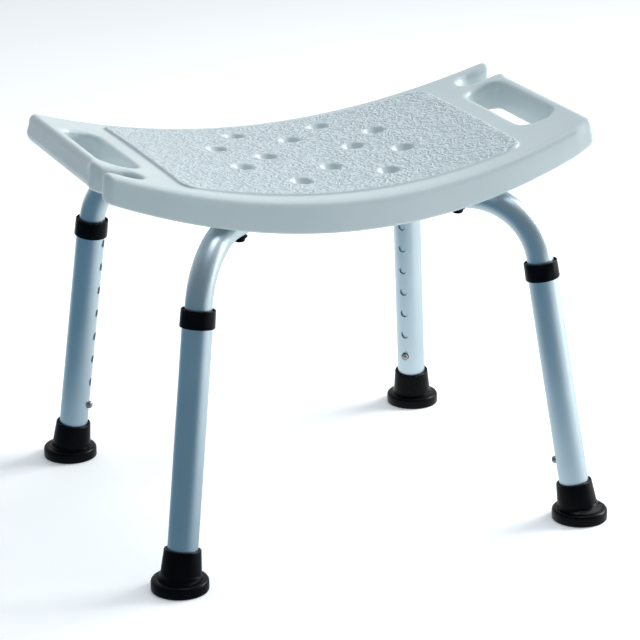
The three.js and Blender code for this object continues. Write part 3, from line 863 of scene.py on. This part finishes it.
def tube_skin(radius, rows, holes, place):
    """A tube's wall as a closed skin, with drilled holes of (angle, place along, radius)."""
    skin = Skin()
    outer = tube_sheet(skin, radius, rows, holes, place)
    inner = tube_sheet(skin, radius - TUBE_WALL, rows, holes, place)
    for first, second in zip(outer, inner):
        skin.bridge(first, second)
    return skin


def on_cylinder(radius, angle, along):
    return (radius * math.cos(angle), radius * math.sin(angle), along)


def lower_tube(leg, material):
    holes = [(0.0, FIRST_HOLE + i * HOLE_PITCH, HOLE_RADIUS) for i in range(HOLE_COUNT)]
    rows = np.linspace(*OUTER_TUBE, 60)
    skin = tube_skin(OUTER_TUBE_RADIUS, rows, holes, on_cylinder)
    name = f"lower_tube_{leg.where}"
    body = f"leg_{leg.where}"
    skin.make(name + "_drawn", [material], body, "lower_tube_aluminium", [name], 30, leg.matrix)


def upper_tube(leg, material):
    bend_length = BEND_RADIUS * leg.bend_angle
    bend_end = leg.bend_from + bend_length
    tube_end = bend_end + leg.bend_end_from_centre - TUBE_END_FROM_CENTRE
    rows = np.concatenate(
        (
            np.linspace(INNER_TUBE_FROM, leg.bend_from, 40)[:-1],
            np.linspace(leg.bend_from, bend_end, 33)[:-1],
            np.linspace(bend_end, tube_end, 16),
        )
    )
    holes = [(0.0, FIRST_HOLE, HOLE_RADIUS)]
    for distance in BOLT_FROM_CENTRE:
        along = bend_end + leg.bend_end_from_centre - distance
        holes += [(angle, along, BOLT_HOLE_RADIUS) for angle in (leg.above, leg.above - math.pi)]
    skin = tube_skin(INNER_TUBE_RADIUS, rows, holes, leg.bent)
    name = f"upper_tube_{leg.where}"
    skin.make(name + "_bent", [material], "frame", "upper_tube_aluminium", [name], 30, leg.matrix)


def collar(leg, material):
    """Cup-shaped cap: a thin lip stands up round a recessed top."""
    grip = OUTER_TUBE_RADIUS + GAP
    guide = INNER_TUBE_RADIUS + GAP
    low, high = COLLAR
    profile = rounded_profile(
        [
            (grip, low, 0),
            (COLLAR_RADIUS, low, 1.2 * MM),
            (COLLAR_RADIUS - 0.4 * MM, high, 0.5 * MM),
            (COLLAR_RADIUS - 1.5 * MM, high, 0.5 * MM),
            (COLLAR_RADIUS - 1.8 * MM, high - COLLAR_RECESS, 0.4 * MM),
            (guide, high - COLLAR_RECESS, 0.3 * MM),
            (guide, high - COLLAR_LEDGE, 0.1 * MM),
            (grip, high - COLLAR_LEDGE, 0.1 * MM),
            (grip, low, 0),
        ]
    )[:-1]
    skin = Skin()
    lathe(skin, profile, 72)
    name = f"collar_{leg.where}"
    skin.make(name + "_cap", [material], f"leg_{leg.where}", "collar_plastic", [name], 40, leg.matrix)


def foot(leg, material):
    """Rubber tip: the flange lies flat on the floor and the neck follows the leg. The sole is
    hollow in the middle, with a groove round that."""
    socket_radius = OUTER_TUBE_RADIUS + GAP
    flange = rounded_profile(
        [
            (0, 1.2 * MM, 0),
            (14 * MM, 1.2 * MM, 0.5 * MM),
            (15 * MM, 0, 0.4 * MM),
            (18.5 * MM, 0, 0.4 * MM),
            (19 * MM, 0.9 * MM, 0.4 * MM),
            (21 * MM, 0.9 * MM, 0.4 * MM),
            (21.5 * MM, 0, 0.4 * MM),
            (FLANGE_RADIUS, 0, 1.2 * MM),
            (FLANGE_RADIUS, FLANGE_HEIGHT, 3.4 * MM),
            (21 * MM, FLANGE_HEIGHT, 0),
        ]
    )
    neck = rounded_profile(
        [
            (20.6 * MM, 13.2 * MM, 0),
            (19.3 * MM, 15.5 * MM, 2 * MM),
            (17.4 * MM, FOOT_TOP, 0.6 * MM),
            (15.6 * MM, FOOT_TOP, 0.5 * MM),
            (socket_radius, FOOT_TOP - 2.5 * MM, 1.5 * MM),
            (socket_radius, FOOT_FLOOR, 0.5 * MM),
            (0, FOOT_FLOOR, 0),
        ]
    )
    tilted = [leg.matrix] * len(neck)
    skin = Skin()
    lathe(skin, flange + neck, 72, [leg.upright] * len(flange) + tilted)
    name = f"foot_{leg.where}"
    skin.make(name + "_tip", [material], f"leg_{leg.where}", "foot_rubber", [name], 45)


def across_leg(leg):
    """A frame whose Z runs along the leg's X, at the snap button."""
    return leg.matrix @ Matrix.Translation((0, 0, FIRST_HOLE)) @ Matrix.Rotation(math.pi / 2, 4, "Y")


def snap_button(leg, material):
    """A domed pin with a flange that keeps it inside the upper tube."""
    low, high = BUTTON_FLANGE
    profile = rounded_profile(
        [
            (0, low, 0),
            (BUTTON_FLANGE_RADIUS, low, 0.2 * MM),
            (BUTTON_FLANGE_RADIUS, high, 0.2 * MM),
            (BUTTON_RADIUS, high, 0.2 * MM),
            (BUTTON_RADIUS, BUTTON_TOP, 2.4 * MM),
            (0, BUTTON_TOP, 0),
        ],
        6,
    )
    skin = Skin()
    lathe(skin, profile, 40)
    name = f"snap_button_{leg.where}"
    body = f"button_{leg.where}"
    skin.make(name + "_pin", [material], body, "button_steel", [name], 40, across_leg(leg))


def button_spring(leg, material):
    """A strip folded into a U inside the tube, with the button on its front arm."""
    front, back = SPRING_X
    half = SPRING_HALF_WIDTH
    middle, outer = (front + back) / 2, (front - back) / 2
    angles = np.linspace(0, -math.pi, 17)
    fold = [(middle + outer * math.cos(a), SPRING_BEND + outer * math.sin(a)) for a in angles]
    line = np.array([(front, SPRING_TIPS[0]), *fold, (back, SPRING_TIPS[1])])
    along = np.gradient(line, axis=0)
    along /= np.linalg.norm(along, axis=1)[:, None]
    inwards = np.stack((along[:, 1], -along[:, 0]), axis=1)
    skin = Skin()
    rings = []
    for (x, z), (deep_x, deep_z) in zip(line, line + inwards * SPRING_THICKNESS):
        corners = [(x, -half, z), (x, half, z), (deep_x, half, deep_z), (deep_x, -half, deep_z)]
        rings.append(skin.ring(corners))
    skin.stack(rings)
    skin.face(rings[0])
    skin.face(rings[-1])
    name = f"button_spring_{leg.where}"
    strip = skin.make(name + "_strip", [material], None, "spring_steel", [name], 30, leg.matrix)
    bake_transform(strip)


def bolt_profile(head_top):
    """Shank and button head, from the tip down, then the socket for a hexagon key."""
    head_low = head_top - BOLT_HEAD_HEIGHT
    socket_top = head_low + BOLT_SOCKET_DEPTH
    bolt = rounded_profile(
        [
            (0, BOLT_TOP_Z, 0),
            (BOLT_RADIUS, BOLT_TOP_Z, 0.6 * MM),
            (BOLT_RADIUS, head_top, 0.3 * MM),
            (BOLT_HEAD_RADIUS, head_top, 0.4 * MM),
            (BOLT_HEAD_RADIUS - 0.3 * MM, head_low, 2.2 * MM),
            (BOLT_SOCKET_RADIUS + 0.3 * MM, head_low, 0),
        ]
    )
    mouth = (BOLT_SOCKET_RADIUS, head_low + 0.2 * MM)
    return bolt, [mouth, (BOLT_SOCKET_RADIUS, socket_top), (0, socket_top)]


def fasteners(leg, steel, brass):
    """Bolt, washer and threaded insert at each of the tube's two fixing holes."""
    washer_top = LEVEL_TUBE_Z - INNER_TUBE_RADIUS - GAP
    washer_low = washer_top - WASHER_HEIGHT
    hole = BOLT_RADIUS + GAP
    bolt, socket = bolt_profile(washer_low - GAP)
    for which, distance in zip(("outer", "inner"), BOLT_FROM_CENTRE):
        place = Matrix.Translation((-leg.level.x * distance, -leg.level.y * distance, 0))
        tag = f"{which}_{leg.where}"
        skin = Skin()
        lathe(skin, bolt + socket, 48, hexes=(len(bolt), len(bolt) + 1))
        skin.make(f"bolt_{tag}_head", [steel], "frame", "black_steel", [f"bolt_{tag}"], 35, place)
        washer = (hole, WASHER_RADIUS, washer_low, washer_top)
        ring_piece(f"washer_{tag}", "round", washer, steel, "black_steel", place)
        insert = (hole, INSERT_RADIUS, *INSERT_Z)
        ring_piece(f"insert_{tag}", "sleeve", insert, brass, "insert_brass", place)


def ring_piece(node, kind, sizes, material, slot, place):
    """A plain ring with eased edges; sizes are its two radii and its two heights."""
    inner, outer, low, high = sizes
    edge = 0.25 * MM
    corners = [(inner, low, edge), (outer, low, edge), (outer, high, edge), (inner, high, edge)]
    skin = Skin()
    lathe(skin, [tuple(p) for p in fillet(corners, 3)], 48)
    skin.make(f"{node}_{kind}", [material], "frame", slot, [node], 35, place)


def legs():
    upper = aluminium("upper_tube_aluminium", (0.56, 0.66, 0.71))
    lower = aluminium("lower_tube_aluminium", (0.54, 0.65, 0.72))
    caps = blackened("collar_plastic", 0.2, 0.3)
    tips = blackened("foot_rubber", 0.24, 0.36)
    pin = metal("button_steel", (0.32, 0.32, 0.31), 0.2)
    spring = metal("spring_steel", (0.45, 0.46, 0.48), 0.3)
    black = blackened("black_steel", 0.28, 0.4)
    brass = metal("insert_brass", (0.65, 0.5, 0.24), 0.3)
    for leg in LEGS.values():
        upper_tube(leg, upper)
        lower_tube(leg, lower)
        collar(leg, caps)
        foot(leg, tips)
        snap_button(leg, pin)
        button_spring(leg, spring)
        fasteners(leg, black, brass)


# ---------------------------------------------------------------- stage


CAMERA_AZIMUTH = math.radians(-23.07)
CAMERA_ELEVATION = math.radians(19.06)
CAMERA_ROLL = math.radians(-0.30)
CAMERA_DISTANCE = 2.7828
CAMERA_TARGET = Vector((0.0073, 0, 0.17573))
CAMERA_LENS = 159.07  # mm on a 36 mm sensor
AIM_RIGHT = math.radians(0.0523)  # the camera's axis passes a little beside the target
AIM_DOWN = math.radians(0.0113)
FLOOR_REACH = 12.0
LIGHTS_AIM = Vector((0, 0, 0.25))
WORLD_TOWARDS = (0.62, 0.75, 0.2)
WORLD_DARK = (0.20, 0.26, 0.30, 1)
WORLD_BRIGHT = (0.72, 0.74, 0.76, 1)
WORLD_REACH = (-0.5, 0.8)  # where along WORLD_TOWARDS it is fully dark and fully bright


def camera():
    azimuth, elevation = CAMERA_AZIMUTH, CAMERA_ELEVATION
    right = Vector((math.cos(azimuth), math.sin(azimuth), 0))
    back = Vector(
        (
            math.sin(azimuth) * math.cos(elevation),
            -math.cos(azimuth) * math.cos(elevation),
            math.sin(elevation),
        )
    )
    up = back.cross(right)
    turned = Matrix((right, up, back)).transposed() @ Matrix.Rotation(CAMERA_ROLL, 3, "Z")
    turned = turned @ Matrix.Rotation(-AIM_RIGHT, 3, "Y") @ Matrix.Rotation(-AIM_DOWN, 3, "X")
    data = bpy.data.cameras.new("camera")
    data.lens = CAMERA_LENS
    data.sensor_width = 36
    data.clip_end = 50
    eye = bpy.data.objects.new("camera", data)
    eye.matrix_world = Matrix.Translation(CAMERA_TARGET + back * CAMERA_DISTANCE) @ turned.to_4x4()
    bpy.context.scene.collection.objects.link(eye)
    bpy.context.scene.camera = eye


def floor():
    """A wide floor. It goes down with one leg, so that the stool still stands on it when all
    four legs are drawn out."""
    mesh = bpy.data.meshes.new("floor")
    r = FLOOR_REACH
    corners = [(-r, -r, 0), (r, -r, 0), (r, r, 0), (-r, r, 0)]
    mesh.from_pydata(corners, [], [(0, 1, 2, 3)])
    mesh.materials.append(floor_paint())
    plane = bpy.data.objects.new("floor", mesh)
    plane.location.z = -0.2 * MM
    bpy.context.scene.collection.objects.link(plane)
    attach(plane, "leg_back_left")


def area_light(name, place, size, power, colour):
    data = bpy.data.lights.new(name, "AREA")
    data.energy = power
    data.size = size
    data.color = colour
    light = bpy.data.objects.new(name, data)
    light.location = place
    light.rotation_euler = (LIGHTS_AIM - Vector(place)).to_track_quat("-Z", "Y").to_euler()
    bpy.context.scene.collection.objects.link(light)


def studio_world():
    """Pale surroundings: brighter behind the stool and to its right, darker by the camera."""
    world = bpy.data.worlds.new("studio")
    world.use_nodes = True
    tree = world.node_tree
    direction = tree.nodes.new("ShaderNodeTexCoord").outputs["Generated"]
    towards = tree.nodes.new("ShaderNodeVectorMath")
    towards.operation = "DOT_PRODUCT"
    towards.inputs[1].default_value = WORLD_TOWARDS
    tree.links.new(direction, towards.inputs[0])
    spread = tree.nodes.new("ShaderNodeMapRange")
    spread.interpolation_type = "SMOOTHSTEP"
    spread.inputs["From Min"].default_value = WORLD_REACH[0]
    spread.inputs["From Max"].default_value = WORLD_REACH[1]
    tree.links.new(towards.outputs["Value"], spread.inputs["Value"])
    shade = tree.nodes.new("ShaderNodeMix")
    shade.data_type = "RGBA"
    shade.inputs[6].default_value = WORLD_DARK
    shade.inputs[7].default_value = WORLD_BRIGHT
    tree.links.new(spread.outputs["Result"], shade.inputs["Factor"])
    tree.links.new(shade.outputs[2], tree.nodes["Background"].inputs["Color"])
    bpy.context.scene.world = world


def lights():
    area_light("key", (1.9, 0.1, 1.2), 1.0, 49, (1.0, 0.99, 0.98))
    area_light("side", (1.9, -0.5, 0.5), 1.0, 7, (1.0, 1.0, 1.0))
    area_light("top", (0.3, -0.3, 2.2), 1.0, 10, (0.97, 0.985, 1.0))
    studio_world()
    bpy.context.scene.view_settings.view_transform = "Standard"


seat_shell()
legs()
floor()
lights()
camera()
